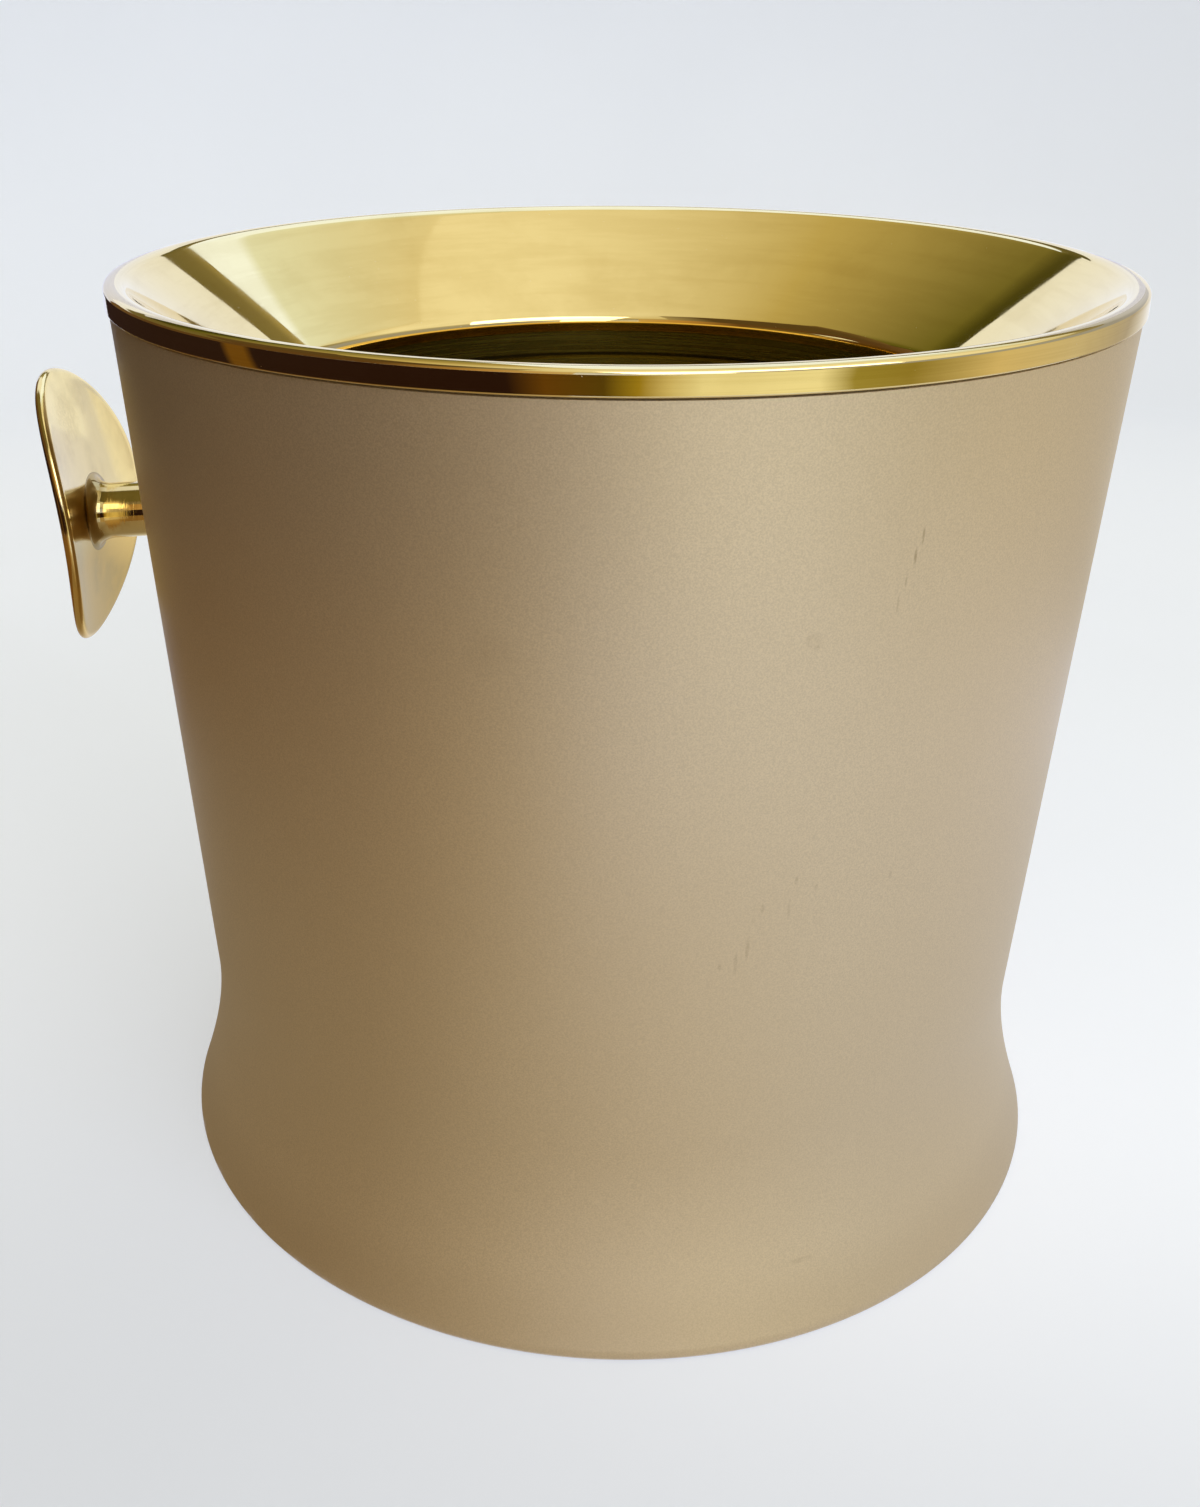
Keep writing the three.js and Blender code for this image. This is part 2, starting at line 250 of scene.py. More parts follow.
def outer_shell():
    heights = levels(FOOT_LIFT + FOOT_EDGE, TAPER_LOW, FLARE_STEPS)
    taper_heights = levels(TAPER_LOW, TAPER_TOP, TAPER_STEPS)[1:]
    step_top = TAPER_TOP + EDGE_STEP
    foot_outer = shell_radius(heights[0])
    edge_centre = (foot_outer - FOOT_EDGE, heights[0])
    outside = [(shell_radius(z), z) for z in heights[1:] + taper_heights]
    inside = [(shell_radius(z) - SHELL_WALL, z) for z in heights + taper_heights[:-1]]
    profile = [
        *arc(edge_centre, FOOT_EDGE, -QUARTER, 0, FOOT_EDGE_STEPS),
        *outside,
        (EDGE_RADIUS, step_top),
        (EDGE_RADIUS, EDGE_TOP),
        (EDGE_RADIUS - SHELL_WALL, EDGE_TOP),
        (EDGE_RADIUS - SHELL_WALL, step_top),
        (TAPER_TOP_RADIUS - SHELL_WALL, TAPER_TOP - SHELL_WALL),
        *reversed(inside),
        (shell_radius(FOOT_LIFT) - SHELL_WALL, FOOT_LIFT),
    ]
    shell = turned("shell", profile)
    cut(shell, screw_hole())
    return shell


# Upper face of the funnel, from the lip's arc down to the neck's bend
UP_FROM_FUNNEL = QUARTER + FUNNEL_ANGLE
CORNER_TO_LIP = LIP_RADIUS - CORNER_RADIUS
LIP_CENTRE = (RIM_RADIUS - CORNER_RADIUS - CORNER_TO_LIP * math.cos(CORNER_TURN), HEIGHT - LIP_RADIUS)
CORNER_CENTRE = (RIM_RADIUS - CORNER_RADIUS, LIP_CENTRE[1] + CORNER_TO_LIP * math.sin(CORNER_TURN))
LIP_END = on_circle(LIP_CENTRE, LIP_RADIUS, UP_FROM_FUNNEL)


def funnel_height(radius):
    return LIP_END[1] - (LIP_END[0] - radius) * math.tan(FUNNEL_ANGLE)


BEND_RADIAL = NECK_RADIUS + NECK_BEND
FUNNEL_LOW_RADIUS = BEND_RADIAL + NECK_BEND * math.cos(UP_FROM_FUNNEL)
BEND_CENTRE = (BEND_RADIAL, funnel_height(FUNNEL_LOW_RADIUS) - NECK_BEND * math.sin(UP_FROM_FUNNEL))
NECK_LOW = BEND_CENTRE[1] - NECK_LENGTH
NECK_OUTER_RADIUS = NECK_RADIUS + COLLAR_SHEET


def funnel_collar():
    band_inner = RIM_RADIUS - COLLAR_SHEET
    lip_inner = LIP_RADIUS - COLLAR_SHEET
    band_meets_lip = math.acos((band_inner - LIP_CENTRE[0]) / lip_inner)
    band_edge_centre = (RIM_RADIUS - BAND_EDGE, BAND_LOW + BAND_EDGE)
    straight = [LIP_END[0] - STRAIGHT, FUNNEL_LOW_RADIUS + STRAIGHT]
    return turned(
        "collar",
        [
            (band_inner, BAND_LOW),
            *arc(band_edge_centre, BAND_EDGE, -QUARTER, 0, BAND_EDGE_STEPS),
            *arc(CORNER_CENTRE, CORNER_RADIUS, 0, CORNER_TURN, CORNER_STEPS),
            *arc(LIP_CENTRE, LIP_RADIUS, CORNER_TURN, UP_FROM_FUNNEL, LIP_STEPS)[1:],
            *[(radius, funnel_height(radius)) for radius in straight],
            *arc(BEND_CENTRE, NECK_BEND, UP_FROM_FUNNEL, math.pi, NECK_BEND_STEPS),
            (NECK_RADIUS, NECK_LOW),
            (NECK_OUTER_RADIUS, NECK_LOW),
            *arc(BEND_CENTRE, NECK_BEND - COLLAR_SHEET, math.pi, UP_FROM_FUNNEL, UNDERSIDE_STEPS),
            *arc(LIP_CENTRE, lip_inner, UP_FROM_FUNNEL, band_meets_lip, UNDERSIDE_STEPS),
        ],
    )


def seat_ring():
    low = EDGE_TOP + GAP
    top = low + SEAT_THICKNESS
    outer = RIM_RADIUS - COLLAR_SHEET - GAP
    return turned("seat", [(SEAT_INNER_RADIUS, low), (outer, low), (outer, top), (SEAT_INNER_RADIUS, top)])


def inner_liner():
    socket_inner = NECK_OUTER_RADIUS + GAP
    top = BEND_CENTRE[1] + GAP
    shoulder = top - LINER_SOCKET_DEPTH
    wall = socket_inner + LINER_STEP
    corner_centre = (LINER_LOW_RADIUS - LINER_CORNER, LINER_FLOOR + LINER_CORNER)
    return turned(
        "liner",
        [
            (0, LINER_FLOOR - LINER_SHEET),
            *arc(corner_centre, LINER_CORNER + LINER_SHEET, -QUARTER, 0, LINER_CORNER_STEPS),
            (wall + LINER_SHEET, shoulder - LINER_STEP),
            (socket_inner + LINER_SHEET, shoulder),
            (socket_inner + LINER_SHEET, top),
            (socket_inner, top),
            (socket_inner, shoulder),
            (wall, shoulder - LINER_STEP),
            *arc(corner_centre, LINER_CORNER, 0, -QUARTER, LINER_CORNER_STEPS),
            (0, LINER_FLOOR),
        ],
    )


def base_disc():
    low = PAD_THICKNESS + GAP
    heights = levels(DISC_FLANGE_LOW, DISC_FLANGE_TOP, DISC_FLANGE_STEPS)
    outside = [(shell_radius(z) - SHELL_WALL - GAP, z) for z in heights]
    inside = [(radius - DISC_SHEET, z) for radius, z in reversed(outside)]
    floor_radius = outside[0][0] - DISC_BEND
    return turned(
        "base_dish",
        [
            (0, low),
            (floor_radius, low),
            *outside,
            *inside,
            (floor_radius - DISC_SHEET / 2, low + DISC_SHEET),
            (0, low + DISC_SHEET),
        ],
    )


def base_pad():
    bevel_centre = (PAD_RADIUS - PAD_BEVEL, PAD_BEVEL)
    return turned(
        "pad",
        [
            (0, 0),
            *arc(bevel_centre, PAD_BEVEL, -QUARTER, 0, PAD_BEVEL_STEPS),
            (PAD_RADIUS, PAD_THICKNESS),
            (0, PAD_THICKNESS),
        ],
    )


def saddle(up, across):
    """How far the plate's curves take a point away from the shell, from the plate's middle."""
    round_radius = shell_radius(HANDLE_HEIGHT) + PLATE_STANDOFF
    return up**2 / (2 * PLATE_FLARE_RADIUS) - across**2 / (2 * round_radius)


def handle_plate():
    """Oval plate curved round with the shell, with its top and bottom edges curving away from it."""
    half = PLATE_THICKNESS / 2
    flat = PLATE_HALF_WIDTH - half
    rings = levels(0, flat, PLATE_RINGS)[1:-1]
    plate = turned_mesh(
        [
            (0, -half),
            *[(radius, -half) for radius in rings],
            *arc((flat, 0), half, -QUARTER, QUARTER, PLATE_EDGE_STEPS),
            *[(radius, half) for radius in reversed(rings)],
            (0, half),
        ],
        SMALL_STEPS,
    )
    for vert in plate.verts:
        vert.co.x *= PLATE_HALF_HEIGHT / PLATE_HALF_WIDTH
        vert.co.z += PLATE_STANDOFF + saddle(vert.co.x, vert.co.y)
        vert.co.x += PLATE_RISE
    plate.transform(HANDLE_FRAME)
    return new_object("plate", plate, PLATE_SHARP_EDGE)


def handle_stem():
    """Turned bar with a blind screw hole, whose flared end follows the plate's curves."""
    flare_top = PLATE_STANDOFF - PLATE_THICKNESS / 2 - JOINT
    fillet_low = flare_top - STEM_FLARE_LENGTH
    flare = STEM_FLARE_RADIUS - STEM_RADIUS
    fillet = [
        (STEM_FLARE_RADIUS + flare * across, fillet_low + STEM_FLARE_LENGTH * along)
        for across, along in arc((0, 0), 1, math.pi, QUARTER, STEM_FILLET_STEPS)
    ]
    bar = turned_mesh(
        [
            (0, SCREW_HOLE_END),
            (SCREW_HOLE_RADIUS, SCREW_HOLE_END),
            (SCREW_HOLE_RADIUS, STEM_LOW),
            *[(STEM_RADIUS, z) for z in levels(STEM_LOW, fillet_low, STEM_STEPS)[:-1]],
            *fillet,
            *[(radius, flare_top) for radius in levels(STEM_FLARE_RADIUS, 0, STEM_END_STEPS)[1:]],
        ],
        SMALL_STEPS,
    )
    for vert in bar.verts:
        share = (vert.co.z - SCREW_HOLE_END) / (flare_top - SCREW_HOLE_END)
        vert.co.z += saddle(vert.co.x - PLATE_RISE, vert.co.y) * min(max(share, 0), 1)
    bar.transform(HANDLE_FRAME)
    return new_object("stem", bar)


# Finishes

# Sockets of the Mix node for colours
MIX_FACTOR = 0
MIX_FIRST = 6
MIX_SECOND = 7
MIX_RESULT = 2

MIDDLE = (0.3, 0.7)  # where most values of a noise lie


def direction(azimuth, elevation=0):
    """Unit vector. Azimuth is in degrees from the camera's side (-Y) towards the right (+X)."""
    a = math.radians(azimuth)
    e = math.radians(elevation)
    return Vector((math.sin(a) * math.cos(e), -math.cos(a) * math.cos(e), math.sin(e)))


class Nodes:
    """Adds nodes to a tree, with numbers or links as their inputs."""

    def __init__(self, tree):
        self.tree = tree

    def node(self, kind, inputs=None, **settings):
        made = self.tree.nodes.new("ShaderNode" + kind)
        for key, value in settings.items():
            setattr(made, key, value)
        self.connect(made, inputs or {})
        return made

    def connect(self, node, inputs):
        for key, value in inputs.items():
            if isinstance(value, bpy.types.NodeSocket):
                self.tree.links.new(value, node.inputs[key])
            else:
                node.inputs[key].default_value = value

    def math(self, operation, *values):
        return self.node("Math", dict(enumerate(values)), operation=operation).outputs[0]

    def dot(self, vector, towards):
        made = self.node("VectorMath", {0: vector, 1: towards}, operation="DOT_PRODUCT")
        return made.outputs["Value"]

    def split(self, vector):
        parts = self.node("SeparateXYZ", {"Vector": vector}).outputs
        return parts[0], parts[1], parts[2]

    def between(self, value, low, high, to_low=0.0, to_high=1.0, curve="SMOOTHSTEP"):
        """Takes low..high to to_low..to_high, and holds the ends."""
        inputs = {"Value": value, "From Min": low, "From Max": high, "To Min": to_low, "To Max": to_high}
        return self.node("MapRange", inputs, interpolation_type=curve).outputs["Result"]

    def mix(self, factor, first, second, blend="MIX"):
        made = self.node("Mix", data_type="RGBA", blend_type=blend)
        self.connect(made, {MIX_FACTOR: factor, MIX_FIRST: first, MIX_SECOND: second})
        return made.outputs[MIX_RESULT]

    def noise(self, vector, scale, detail, roughness=0.5):
        inputs = {"Vector": vector, "Scale": scale, "Detail": detail, "Roughness": roughness}
        return self.node("TexNoise", inputs).outputs["Fac"]


class Finish(Nodes):
    """One material, whose patterns follow the place on the object."""

    def __init__(self, name):
        self.material = bpy.data.materials.new(name)
        self.material.use_nodes = True
        super().__init__(self.material.node_tree)
        self.place = self.node("TexCoord").outputs["Object"]
        self.x, self.y, self.height = self.split(self.place)

    def surface(self, **inputs):
        shader = self.tree.nodes["Principled BSDF"]
        self.connect(shader, {key.replace("_", " ").title(): value for key, value in inputs.items()})

    def bump(self, height, distance, strength):
        inputs = {"Height": height, "Distance": distance, "Strength": strength}
        return self.node("Bump", inputs).outputs["Normal"]

    def sum_of_squares(self, first, second):
        return self.math("ADD", self.math("MULTIPLY", first, first), self.math("MULTIPLY", second, second))

    def turning_lines(self, round_scale, across_scale):
        """Marks left by turning: a noise that varies slowly round the bucket's axis and fast across."""
        radius = self.math("SQRT", self.sum_of_squares(self.x, self.y))
        inputs = {
            "X": self.math("MULTIPLY", self.math("DIVIDE", self.x, radius), round_scale),
            "Y": self.math("MULTIPLY", self.math("DIVIDE", self.y, radius), round_scale),
            "Z": self.math("MULTIPLY", self.math("SUBTRACT", self.height, radius), across_scale),
        }
        place = self.node("CombineXYZ", inputs).outputs[0]
        return self.noise(place, scale=1, detail=3, roughness=0.6)

    def specks(self, scale, size, share):
        """Sparse small dots: 1 on a dot and 0 elsewhere."""
        cells = self.node("TexVoronoi", {"Vector": self.place, "Scale": scale})
        chosen = self.math("GREATER_THAN", self.split(cells.outputs["Color"])[0], 1 - share)
        dot = self.between(cells.outputs["Distance"], size, size / 2)
        return self.math("MULTIPLY", dot, chosen)

    def mark(self, azimuth, height, half_width, half_height):
        """One oval mark on an upright face: 1 in its middle and 0 outside."""
        depth = self.dot(self.place, direction(azimuth))
        across = self.math("DIVIDE", self.dot(self.place, direction(azimuth + 90)), half_width)
        along = self.math("DIVIDE", self.math("SUBTRACT", self.height, height), half_height)
        near_side = self.math("GREATER_THAN", depth, 0)
        return self.math("MULTIPLY", self.between(self.sum_of_squares(across, along), 1, 0), near_side)

    def scuffed(self, colour, scuffs, scuff_colour):
        """The colour with oval marks laid over it: real scuffs on the shell, patches of painted shade on the
        plate.
        """
        noise = self.noise(self.place, scale=700, detail=3, roughness=0.7)
        patches = self.between(noise, low=0.35, high=0.6, to_low=0.25)
        for azimuth, height, half_width, half_height, strength in scuffs:
            mark = self.mark(azimuth, height * MM, half_width * MM, half_height * MM)
            scuff = self.math("MULTIPLY", mark, strength)
            colour = self.mix(self.math("MULTIPLY", scuff, patches), colour, scuff_colour)
        return colour


SATIN_DARK = (0.65, 0.54, 0.365, 1)
SATIN_LIGHT = (0.77, 0.65, 0.45, 1)
SATIN_CLOUD = (0.67, 0.55, 0.365, 1)
SATIN_FOOT = (0.5, 0.39, 0.24, 1)
FOOT_DARK_FROM = 20 * MM
FOOT_DARK_TO = 4 * MM

# Scuffs on the shell: azimuth in degrees, then height, half width and half height in mm, then strength
SCUFFS = [
    (29.4, 177.5, 0.35, 2.2, 0.6),
    (28.8, 173.5, 0.4, 2.5, 0.7),
    (28.1, 169.5, 0.3, 2.5, 0.4),
    (27.5, 165, 0.3, 2.5, 0.3),
    (18.9, 160, 2.2, 2, 0.2),
    (19.3, 158.8, 0.8, 0.8, 0.3),
    (-11.5, 158, 6, 6, 0.1),
    (12, 92.4, 0.5, 0.9, 0.3),
    (13.7, 92.8, 0.5, 3.2, 0.35),
    (14.9, 96, 0.5, 3.6, 0.35),
    (15.3, 102.2, 0.5, 1, 0.3),
    (16.2, 104.8, 0.5, 1.2, 0.3),
    (19.2, 104, 0.4, 3, 0.25),
    (19.7, 110, 0.5, 1.3, 0.35),
    (22.1, 107.8, 0.5, 1, 0.35),
    (31.5, 106.5, 0.5, 1.2, 0.3),
    (8.8, 28.3, 0.4, 0.4, 0.5),
    (24, 16.2, 4, 0.8, 0.2),
]
SCUFF_COLOUR = (0.4, 0.3, 0.17, 1)


def champagne_finish():
    """Satin lacquer with a fine metallic grain, a little darker at the foot, with scuffs."""
    finish = Finish("champagne_satin")
    grain = finish.noise(finish.place, scale=3000, detail=2, roughness=0.6)
    cloud = finish.noise(finish.place, scale=16, detail=3)
    foot = finish.between(finish.height, FOOT_DARK_FROM, FOOT_DARK_TO, to_high=0.25)
    colour = finish.mix(finish.between(grain, *MIDDLE), SATIN_DARK, SATIN_LIGHT)
    colour = finish.mix(finish.between(cloud, *MIDDLE, to_high=0.25), colour, SATIN_CLOUD)
    colour = finish.mix(foot, colour, SATIN_FOOT)
    finish.surface(
        base_color=finish.scuffed(colour, SCUFFS, SCUFF_COLOUR),
        metallic=0.92,
        roughness=finish.between(grain, low=0.2, high=0.8, to_low=0.49, to_high=0.57),
        normal=finish.bump(grain, distance=0.04 * MM, strength=0.4),
        coat_weight=0.5,
        coat_roughness=0.4,
    )
    return finish.material


BRASS = (0.88, 0.71, 0.34, 1)
BRASS_DULL = (0.70, 0.53, 0.21, 1)
# Amber for the painted warm reflection round the neck
NECK_PAINTED_REFLECTION = (0.92, 0.62, 0.14, 1)
DUST = (0.95, 0.9, 0.7, 1)
DUST_SHARE = 0.6
DUST_ROUGHNESS = 0.3  # added where a speck lies


def collar_finish():
    """Polished brass with faint lines from turning, stains and a little dust, and a painted warm reflection
    round the neck.
    """
    finish = Finish("brushed_brass")
    lines = finish.turning_lines(round_scale=2.5, across_scale=2600)
    stain = finish.noise(finish.place, scale=45, detail=4, roughness=0.6)
    dust = finish.specks(scale=900, size=0.12, share=0.05)
    # Where the painted warm reflection lies: round the neck
    neck = finish.between(finish.height, BEND_CENTRE[1] + NECK_BEND / 2, BEND_CENTRE[1])
    colour = finish.mix(finish.between(stain, low=0.45, high=0.75, to_high=0.35), BRASS, BRASS_DULL)
    colour = finish.mix(finish.between(lines, low=0.4, high=0.65, to_high=0.25), colour, BRASS_DULL)
    colour = finish.mix(neck, colour, NECK_PAINTED_REFLECTION)
    colour = finish.mix(finish.math("MULTIPLY", dust, DUST_SHARE), colour, DUST)
    polish = finish.between(lines, *MIDDLE, to_low=0.03, to_high=0.06)
    finish.surface(
        base_color=colour,
        metallic=1.0,
        roughness=finish.math("ADD", polish, finish.math("MULTIPLY", dust, DUST_ROUGHNESS)),
        normal=finish.bump(lines, distance=0.01 * MM, strength=0.25),
    )
    return finish.material


# The liner's upper part near the neck is painted shade, with a painted shadow line at its step; deeper down
# it has its own brass colour
LINER_SEAM = BEND_CENTRE[1] - LINER_SOCKET_DEPTH + LINER_STEP
LINER_SHADE_FADE_FROM = LINER_SEAM - 12 * MM
LINER_SHADE_FADE_TO = LINER_SEAM - 30 * MM
SEAM_OUTER = 0.6 * MM
SEAM_INNER = 0.25 * MM
# Painted shade on the liner's upper part, with stains in it
LINER_SOCKET_SHADE = (0.26, 0.22, 0.04, 1)
LINER_SOCKET_SHADE_STAIN = (0.19, 0.16, 0.027, 1)
LINER_SHADE_BELOW_SEAM = (0.28, 0.23, 0.04, 1)
LINER_OWN_COLOUR = (0.64, 0.49, 0.18, 1)
SEAM_SHADOW_COLOUR = (0.05, 0.035, 0.01, 1)


def liner_finish():
    """Satin spun brass, with painted shade near its top and a painted shadow line at its step."""
    finish = Finish("liner_brass")
    lines = finish.turning_lines(round_scale=2.0, across_scale=1500)
    stain = finish.noise(finish.place, scale=30, detail=4, roughness=0.6)
    stained = finish.between(stain, low=0.4, high=0.75, to_high=0.6)
    below_seam = finish.between(finish.height, LINER_SEAM, LINER_SEAM - MM)
    deep = finish.between(finish.height, LINER_SHADE_FADE_FROM, LINER_SHADE_FADE_TO)
    from_seam = finish.math("ABSOLUTE", finish.math("SUBTRACT", finish.height, LINER_SEAM))
    # Painted shadow line at the liner's step
    seam_shadow = finish.between(from_seam, SEAM_OUTER, SEAM_INNER, to_high=0.85)
    colour = finish.mix(stained, LINER_SOCKET_SHADE, LINER_SOCKET_SHADE_STAIN)
    colour = finish.mix(below_seam, colour, LINER_SHADE_BELOW_SEAM)
    colour = finish.mix(deep, colour, LINER_OWN_COLOUR)
    colour = finish.mix(seam_shadow, colour, SEAM_SHADOW_COLOUR)
    finish.surface(
        base_color=colour,
        metallic=1.0,
        roughness=finish.between(lines, *MIDDLE, to_low=0.24, to_high=0.3),
        normal=finish.bump(lines, distance=0.02 * MM, strength=0.15),
    )
    return finish.material


PLATE_BRIGHT = (0.92, 0.73, 0.33, 1)
# Painted shade on the plate's lower half
PLATE_SHADED_LOW = (0.8, 0.47, 0.06, 1)
PLATE_SHADE_FROM = 152 * MM
PLATE_SHADE_TO = 140 * MM
PLATE_STAIN = (0.6, 0.45, 0.18, 1)
PLATE_SHADE_PATCH_COLOUR = (0.55, 0.38, 0.12, 1)

# Patches of painted shade on the plate, given like the scuffs
PLATE_SHADE_PATCHES = [
    (-88.5, 174, 9, 7, 0.35),
    (-86, 168, 4, 5, 0.2),
    (-88, 138, 6, 9, 0.3),
]


def plate_finish():
    """Polished brass with a slight haze and stains, patches of painted shade, and painted shade over its
    lower half.
    """
    finish = Finish("polished_brass")
    stain = finish.noise(finish.place, scale=70, detail=4, roughness=0.6)
    haze = finish.noise(finish.place, scale=220, detail=3, roughness=0.6)
    shaded_low_half = finish.between(finish.height, PLATE_SHADE_FROM, PLATE_SHADE_TO, to_high=0.6)
    colour = finish.mix(shaded_low_half, PLATE_BRIGHT, PLATE_SHADED_LOW)
    # Patches of painted shade, laid like the shell's scuffs
    colour = finish.scuffed(colour, PLATE_SHADE_PATCHES, PLATE_SHADE_PATCH_COLOUR)
    colour = finish.mix(finish.between(stain, low=0.45, high=0.75, to_high=0.5), colour, PLATE_STAIN)
    finish.surface(
        base_color=colour,
        metallic=1.0,
        roughness=finish.between(haze, low=0.3, high=0.8, to_low=0.1, to_high=0.16),
        normal=finish.bump(stain, distance=0.3 * MM, strength=0.06),
    )
    return finish.material


STEM_LINES_ALONG = 2600
STEM_LINES_ACROSS = 60
STEM_DULL = (0.5, 0.34, 0.1, 1)
STEM_TARNISH = (0.26, 0.16, 0.04, 1)
STEM_TARNISH_FROM = -120 * MM
STEM_TARNISH_TO = -123 * MM


def stem_finish():
    """Turned brass with fine lines round the stem, tarnished beside the plate."""
    finish = Finish("turned_brass")
    inputs = {
        "X": finish.math("MULTIPLY", finish.x, STEM_LINES_ALONG),
        "Y": finish.math("MULTIPLY", finish.y, STEM_LINES_ACROSS),
    }
    lines = finish.noise(finish.node("CombineXYZ", inputs).outputs[0], scale=1, detail=3, roughness=0.6)
    stain = finish.noise(finish.place, scale=160, detail=3)
    tarnish = finish.between(finish.x, STEM_TARNISH_FROM, STEM_TARNISH_TO, to_high=0.65)
    colour = finish.mix(finish.between(stain, low=0.4, high=0.7, to_high=0.35), BRASS, STEM_DULL)
    finish.surface(
        base_color=finish.mix(tarnish, colour, STEM_TARNISH),
        metallic=1.0,
        roughness=finish.between(lines, *MIDDLE, to_low=0.03, to_high=0.07),
        normal=finish.bump(lines, distance=0.04 * MM, strength=0.5),
    )
    return finish.material


ALUMINIUM_LIGHT = (0.74, 0.74, 0.75, 1)
ALUMINIUM_DARK = (0.56, 0.56, 0.57, 1)
STEEL_LIGHT = (0.6, 0.59, 0.58, 1)
STEEL_DARK = (0.44, 0.44, 0.43, 1)


def spun_metal_finish(name, light, dark, smooth, rough):
    """Bare metal with lines from turning, between two colours and two roughnesses."""
    finish = Finish(name)
    lines = finish.turning_lines(round_scale=3.0, across_scale=1200)
    finish.surface(
        base_color=finish.mix(finish.between(lines, *MIDDLE), dark, light),
        metallic=1.0,
        roughness=finish.between(lines, *MIDDLE, to_low=smooth, to_high=rough),
        normal=finish.bump(lines, distance=0.04 * MM, strength=0.3),
    )
    return finish.material


RUBBER = (0.018, 0.018, 0.018, 1)
RUBBER_SCUFFED = (0.06, 0.058, 0.055, 1)


def rubber_finish():
    """Matt black rubber with a fine grain, paler where it is scuffed."""
    finish = Finish("pad_rubber")
    grain = finish.noise(finish.place, scale=1400, detail=3)
    scuff = finish.noise(finish.place, scale=60, detail=4, roughness=0.6)
    finish.surface(
        base_color=finish.mix(finish.between(scuff, low=0.45, high=0.75), RUBBER, RUBBER_SCUFFED),
        roughness=finish.between(grain, *MIDDLE, to_low=0.72, to_high=0.9),
        normal=finish.bump(grain, distance=0.1 * MM, strength=0.5),
    )
    return finish.material


SILICONE_DARK = (0.62, 0.6, 0.54, 1)
SILICONE_LIGHT = (0.78, 0.76, 0.7, 1)


def silicone_finish():
    """Cloudy pale silicone."""
    finish = Finish("clear_silicone")
    cloud = finish.noise(finish.place, scale=120, detail=3)
    finish.surface(
        base_color=finish.mix(cloud, SILICONE_DARK, SILICONE_LIGHT),
        roughness=finish.between(cloud, *MIDDLE, to_low=0.35, to_high=0.5),
    )
    return finish.material


def wear(piece, material):
    piece.data.materials.clear()
    piece.data.materials.append(material)


def dress(piece, body, node, material):
    """A smooth piece that stands for one node, moves with its body and has its finish."""
    wear(piece, material)
    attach(piece, body)
    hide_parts(node)


silicone = silicone_finish()
aluminium = spun_metal_finish("bare_aluminium", ALUMINIUM_LIGHT, ALUMINIUM_DARK, smooth=0.28, rough=0.42)
steel = spun_metal_finish("fastener_steel", STEEL_LIGHT, STEEL_DARK, smooth=0.2, rough=0.34)

dress(outer_shell(), "bucket", "outer_shell", champagne_finish())
dress(base_disc(), "bucket", "base_disc", aluminium)
dress(base_pad(), "bucket", "base_pad", rubber_finish())
dress(handle_plate(), "bucket", "handle_plate", plate_finish())
dress(handle_stem(), "bucket", "handle_stem", stem_finish())
dress(funnel_collar(), "insert", "funnel_collar", collar_finish())
dress(inner_liner(), "insert", "inner_liner", liner_finish())
dress(seat_ring(), "insert", "seat_ring", silicone)
wear(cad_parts["handle_gasket"], silicone)
wear(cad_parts["handle_backing"], aluminium)
wear(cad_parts["handle_washer"], steel)
wear(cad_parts["handle_screw"], steel)


# Set: a pale round sweep, a graded room above it, one softbox, and cards of painted light that only
# reflections show

SWEEP_RADIUS = 1.15
SWEEP_BEND = 0.3
SWEEP_BEND_STEPS = 16
SWEEP_TOP = 0.68
SWEEP_SHEET = 0.01
PAPER = (0.60, 0.625, 0.68, 1)
PAPER_CLOUD = (0.57, 0.595, 0.65, 1)
PAPER_GLOW_COLOUR = (0.84, 0.88, 0.97, 1)
# The paper's glow in reflections is painted light, bluer and brighter than for the camera
PAPER_MIRRORED_COLOUR = (0.86, 0.94, 1.45, 1)
PAPER_GLOW = 0.46
# Painted shade darkens the paper towards the front
DIM_SIDE = Vector((-0.15, -0.989, 0))  # the front, where less light reaches the paper
DIM_FROM = -0.02
DIM_TO = 0.2
DIM_SHARE = 0.8
DIM_FADE_FROM = 0.35
DIM_FADE_TO = 0.8


def paper_finish():
    """Pale matt paper.

    Part of its brightness is its own glow, for the camera and, as painted light that is bluer and brighter,
    for reflections, so that shadows stay soft. Towards the front it is darkened with painted shade.
    """
    finish = Finish("paper")
    cloud = finish.noise(finish.place, scale=3, detail=2)
    ahead = finish.dot(finish.place, DIM_SIDE)
    # Painted shade towards the front
    dimmed = finish.math(
        "ADD",
        finish.between(ahead, DIM_FROM, DIM_TO, to_low=1, to_high=DIM_SHARE),
        finish.between(ahead, DIM_FADE_FROM, DIM_FADE_TO, to_high=1 - DIM_SHARE),
    )
    grey = finish.node("CombineColor", {0: dimmed, 1: dimmed, 2: dimmed}).outputs[0]
    paper = finish.mix(finish.between(cloud, *MIDDLE), PAPER, PAPER_CLOUD)
    seen = finish.node("LightPath").outputs
    mirrored = finish.math("MAXIMUM", seen["Is Glossy Ray"], seen["Is Transmission Ray"])
    shown = finish.math("MAXIMUM", seen["Is Camera Ray"], mirrored)
    finish.surface(
        base_color=finish.mix(1.0, paper, grey, "MULTIPLY"),
        roughness=0.95,
        emission_color=finish.mix(mirrored, PAPER_GLOW_COLOUR, PAPER_MIRRORED_COLOUR),
        emission_strength=finish.math("MULTIPLY", finish.math("MULTIPLY", shown, PAPER_GLOW), dimmed),
    )
    return finish.material


